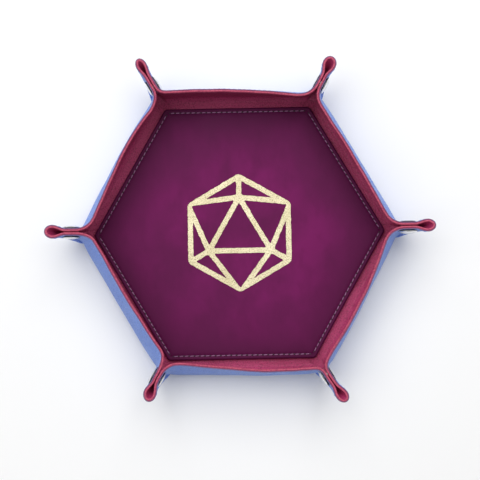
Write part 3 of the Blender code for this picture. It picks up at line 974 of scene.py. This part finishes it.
def make_emblem():
    """Foil die emblem: a thin stamped sheet with rounded, slightly ragged strokes."""
    curve = bpy.data.curves.new("emblem", "CURVE")
    curve.dimensions = "2D"
    curve.fill_mode = "BOTH"
    cells, outer = emblem_cells()
    outlines = [brushed_outline(outer, 2.6 * MM, 0.32 * MM, 0)]
    for number, cell in enumerate(cells):
        outlines.append(brushed_outline(inset_cell(cell), 1.5 * MM, 0.32 * MM, number + 1))
    for outline in outlines:
        spline = curve.splines.new("POLY")
        spline.points.add(len(outline) - 1)
        spline.use_cyclic_u = True
        for point, spot in zip(spline.points, outline):
            point.co = (spot.x, spot.y, 0, 1)
    curve.extrude = 0.05 * MM
    curve.bevel_depth = 0.05 * MM
    curve.bevel_resolution = 1
    source = bpy.data.objects.new("emblem", curve)
    bpy.context.scene.collection.objects.link(source)
    bpy.context.view_layer.update()
    mesh = bpy.data.meshes.new_from_object(source.evaluated_get(bpy.context.evaluated_depsgraph_get()))
    bpy.data.objects.remove(source, do_unlink=True)
    mesh.transform(Matrix.Translation(Vector((0, 0, PAD_HIGH + 0.1 * MM))))
    emblem = link("foil_die", mesh, foil_look(), 40)
    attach(emblem, "floor")
    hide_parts("foil_emblem")


# Press studs -----------------------------------------------------------------------------

def arc(centre, radius, start, end, steps):
    spots = []
    for step in range(steps + 1):
        angle = math.radians(start + (end - start) * step / steps)
        spots.append((centre[0] + radius * math.cos(angle), centre[1] + radius * math.sin(angle)))
    return spots


BARREL, RIVET = 1.75 * MM, 2.45 * MM
FLOOR_LOW, FLOOR_HIGH = -0.45 * MM, 0.15 * MM
UNDER = HALF_SHEET + 0.3 * MM
LIP = 0.75 * MM                   # height of the dark band painted under each head as the shade of the gap beneath it
CAP_RADIUS, CAP_CROWN = 6.5 * MM, 1.9 * MM
POST_RADIUS, POST_CROWN = 5.6 * MM, 1.2 * MM


def head_profile(rim, crown):
    """Domed head with a rolled rim, on its barrel."""
    roll = 0.42 * MM
    outline = [(0, -1.0 * MM), (RIVET - 0.15 * MM, -1.0 * MM), (RIVET, -0.9 * MM), (RIVET, -0.75 * MM),
               (BARREL, -0.75 * MM), (BARREL, UNDER + 0.25 * MM), (rim - 2.2 * roll, UNDER + 0.25 * MM)]
    outline += arc((rim - roll, UNDER + roll), roll, -90, 75, 8)
    dome_start = rim - 1.6 * roll
    for step in range(1, 13):
        angle = math.pi / 2 * step / 12
        rise = (crown + 0.5 * MM - 1.5 * roll) * math.sin(angle)
        outline.append((dome_start * math.cos(angle), UNDER + 1.5 * roll + rise))
    return outline


def cup_profile():
    return [(BARREL + 0.3 * MM, FLOOR_LOW), (BARREL + 0.3 * MM, FLOOR_HIGH), (4.7 * MM, FLOOR_HIGH),
            (5.1 * MM, FLOOR_HIGH - 0.35 * MM), (5.1 * MM, -0.85 * MM), (4.85 * MM, -1.1 * MM),
            (3.95 * MM, -1.1 * MM), (3.65 * MM, -0.9 * MM), (3.75 * MM, FLOOR_LOW)]


def ring_profile():
    tip = -1.65 * MM
    return [(BARREL + 0.3 * MM, FLOOR_LOW), (BARREL + 0.3 * MM, FLOOR_HIGH), (4.8 * MM, FLOOR_HIGH),
            (5.1 * MM, FLOOR_HIGH - 0.25 * MM), (5.1 * MM, FLOOR_LOW), (3.45 * MM, FLOOR_LOW),
            (3.2 * MM, FLOOR_LOW - 0.3 * MM), (3.3 * MM, tip + 0.35 * MM), (3.15 * MM, tip),
            (2.95 * MM, tip), (2.8 * MM, tip + 0.2 * MM), (2.8 * MM, FLOOR_LOW)]


def make_snaps():
    parts = (("cap", -1, "a", head_profile(CAP_RADIUS, CAP_CROWN), METAL),
             ("socket", -1, "a", cup_profile(), METAL_INNER),
             ("post", 1, "b", head_profile(POST_RADIUS, POST_CROWN), METAL),
             ("stud", 1, "b", ring_profile(), METAL_INNER))
    for kind, side, letter, profile, look in parts:
        for corner in range(1, WALLS + 1):
            mesh = turned(profile, 56)
            if look is METAL:
                # The faces under each head take the dark metal of painted shade.
                painted_shade_faces = [int(-0.5 * MM < face.center.z < UNDER + LIP)
                              for face in mesh.polygons]
                mesh.polygons.foreach_set("material_index", painted_shade_faces)
            mesh.transform(snap_frame(corner, side))
            outward(mesh)
            looks = [look, METAL_PAINTED_SHADE] if look is METAL else look
            piece = link(f"stud_{kind}_{corner}", mesh, looks, 35)
            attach(piece, f"leaf_{corner}{letter}")
            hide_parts(f"snap_{kind}_{corner}")


# Stage -----------------------------------------------------------------------------------

def make_stage():
    size = 3.0
    mesh = bpy.data.meshes.new("floor_plane")
    mesh.from_pydata([(-size, -size, 0), (size, -size, 0), (size, size, 0), (-size, size, 0)],
                     [], [(0, 1, 2, 3)])
    nodes = Nodes("pale_floor", 0.8)
    tint = nodes.mix(nodes.noise(0.2, 2.0), (0.90, 0.90, 0.90), (0.93, 0.93, 0.93))
    ground = link("ground", mesh, nodes.finish(tint))
    ground.location.z = -0.2 * MM


def area_light(name, place, aim, size, power):
    light = bpy.data.lights.new(name, "AREA")
    light.shape = "SQUARE"
    light.size = size
    light.energy = power
    lamp = bpy.data.objects.new(name, light)
    bpy.context.scene.collection.objects.link(lamp)
    lamp.location = place
    lamp.rotation_euler = (Vector(aim) - Vector(place)).to_track_quat("-Z", "Y").to_euler()


def make_lights():
    area_light("key", (0.0, 0.80, 1.386), (0, 0, 0), 1.6, 20)
    area_light("left", (-0.80, 0.0, 1.386), (0, 0, 0), 1.4, 7.5)
    area_light("right", (0.676, 0.0, 1.45), (0, 0, 0), 1.4, 4)
    world = bpy.data.worlds.new("studio")
    world.use_nodes = True
    world.node_tree.nodes["Background"].inputs["Color"].default_value = (1.0, 1.0, 1.0, 1.0)
    world.node_tree.nodes["Background"].inputs["Strength"].default_value = 0.27
    bpy.context.scene.world = world
    bpy.context.scene.view_settings.view_transform = "Standard"


CAMERA_DISTANCE = 0.80
CAMERA_ELEVATION = math.radians(85.7)
CAMERA_ROLL = math.radians(-1.1)
SHOWN_WIDTH = 326.4 * MM          # how much the picture shows at the pad's height
SENSOR_WIDTH = 36.0


def make_camera():
    """Almost straight down, tipped a little towards the lower edge of the picture."""
    aim = Vector((0.0002, -0.005, PAD_HIGH))
    back = Vector((0.0, -math.cos(CAMERA_ELEVATION), math.sin(CAMERA_ELEVATION)))
    camera_data = bpy.data.cameras.new("camera")
    camera_data.sensor_width = SENSOR_WIDTH
    camera_data.lens = SENSOR_WIDTH * CAMERA_DISTANCE / SHOWN_WIDTH
    camera = bpy.data.objects.new("camera", camera_data)
    bpy.context.scene.collection.objects.link(camera)
    camera.location = aim + back * CAMERA_DISTANCE
    level = back.to_track_quat("Z", "Y").to_matrix().to_4x4()
    roll = Matrix.Rotation(CAMERA_ROLL, 4, "Z")
    camera.matrix_world = Matrix.Translation(camera.location) @ level @ roll
    bpy.context.scene.camera = camera


make_camera()
make_lights()
make_stage()
make_floor()
make_walls()
make_leaves()
make_pad()
make_pad_thread()
make_needle_holes()
make_emblem()
make_snaps()
